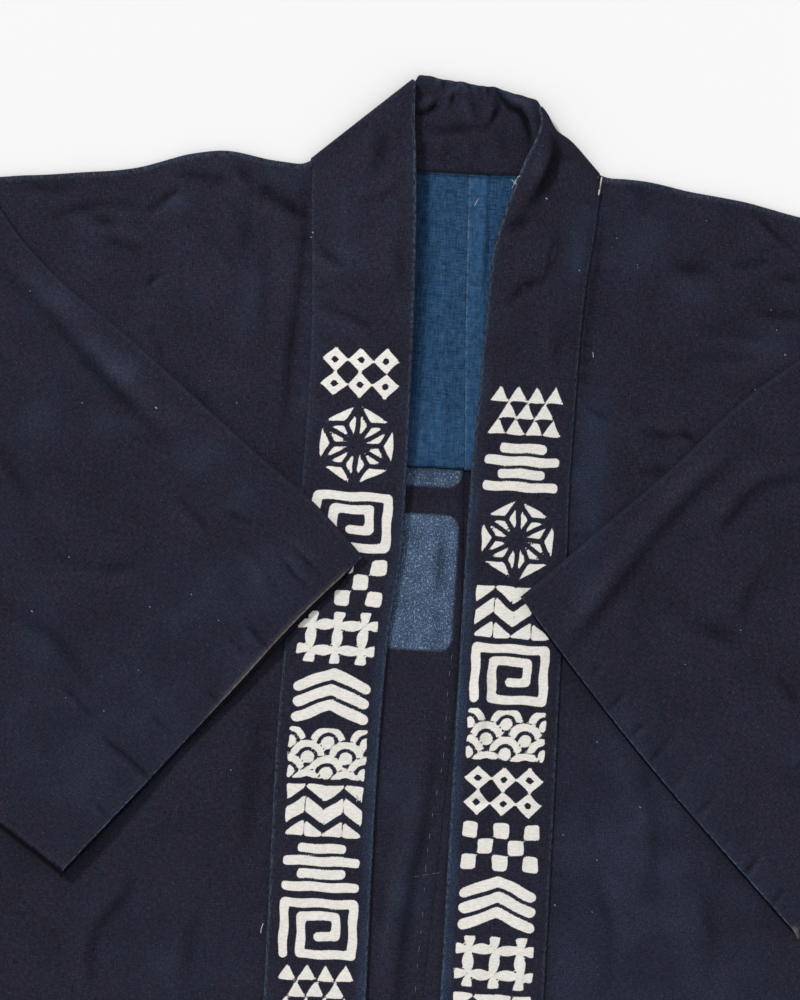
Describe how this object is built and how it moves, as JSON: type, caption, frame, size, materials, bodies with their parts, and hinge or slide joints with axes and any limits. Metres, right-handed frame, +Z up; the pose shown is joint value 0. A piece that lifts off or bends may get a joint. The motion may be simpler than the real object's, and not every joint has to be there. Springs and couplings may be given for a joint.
{
  "type": "happi coat",
  "caption": "Straight-cut cotton happi coat laid flat, face up, with both square sleeves folded over the fronts and a doubled collar band.",
  "frame": {"origin": "middle of the coat's footprint, on the surface it lies on", "axes": "+Y from hem to collar, +X to the wearer's left, +Z up out of the cloth"},
  "size_m": [0.806, 1.0088, 0.0138],
  "materials": {
    "indigo_cloth": "plain-woven cotton dyed near-black indigo, matt, a little worn at folds and edges",
    "collar_band": "doubled indigo cotton band with ivory resist-dyed motifs",
    "yoke_lining": "plain-woven cotton dyed mid blue, matt, with a visible weave"
  },
  "bodies": {
    "root": {"body_right": "indigo_cloth", "body_left": "indigo_cloth", "sleeve_right": "indigo_cloth", "sleeve_left": "indigo_cloth", "collar": "collar_band", "yoke_right": "yoke_lining", "yoke_left": "yoke_lining"}
  },
  "joints": []
}
